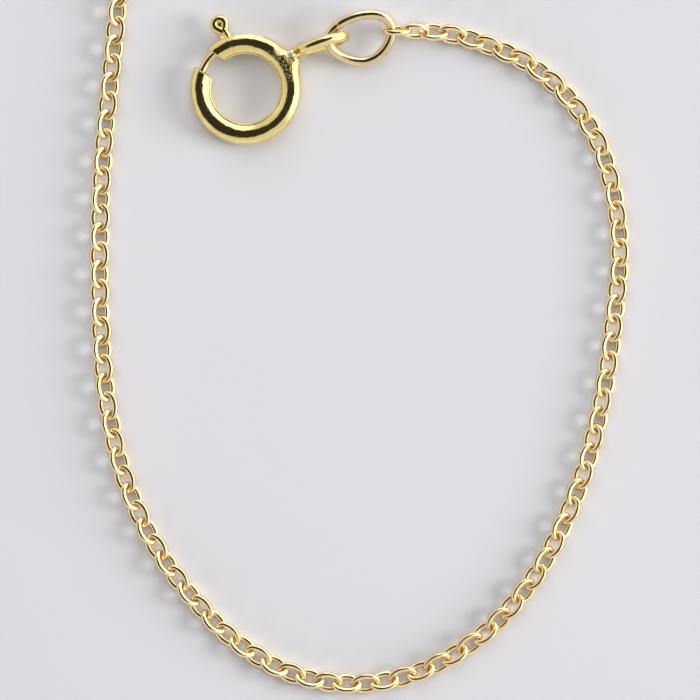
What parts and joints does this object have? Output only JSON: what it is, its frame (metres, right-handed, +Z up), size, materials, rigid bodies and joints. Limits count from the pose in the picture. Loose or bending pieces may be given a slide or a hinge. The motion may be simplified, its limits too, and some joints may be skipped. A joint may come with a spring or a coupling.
{
  "type": "chain necklace",
  "caption": "Fine gold cable chain necklace laid open in two loops, with a spring ring clasp whose bolt slides back against a spring to let in the ring at the far end.",
  "frame": {"origin": "centre of the whole necklace's box, on the surface that it lies on", "axes": "+Z up from the surface, +Y from the small loop by the clasp towards the large loop, +X to the right seen from above"},
  "size_m": [0.0832, 0.1564, 0.002],
  "materials": {
    "clasp_gold": "polished lemon gold over brass, with fine scratches",
    "bolt_gold": "polished lemon gold over brass",
    "jump_gold": "polished pale yellow gold over brass wire",
    "chain_gold": "polished pale yellow gold over brass wire, slightly flattened"
  },
  "bodies": {
    "necklace": {"clasp_body": "clasp_gold", "jump_ring": "jump_gold", "chain_front": "chain_gold", "chain_back": "chain_gold", "end_ring": "jump_gold"},
    "bolt": {"clasp_bolt": "bolt_gold"}
  },
  "joints": [
    {"name": "bolt_slide", "type": "hinge", "parent": "necklace", "child": "bolt", "pos_m": [0.00189, -0.04832, 0.0007], "axis": [0.0643, 0.0386, -0.9972], "range_deg": [0, 32], "stiffness_Nm_per_rad": 0.004, "springref_deg": -34.38}
  ]
}
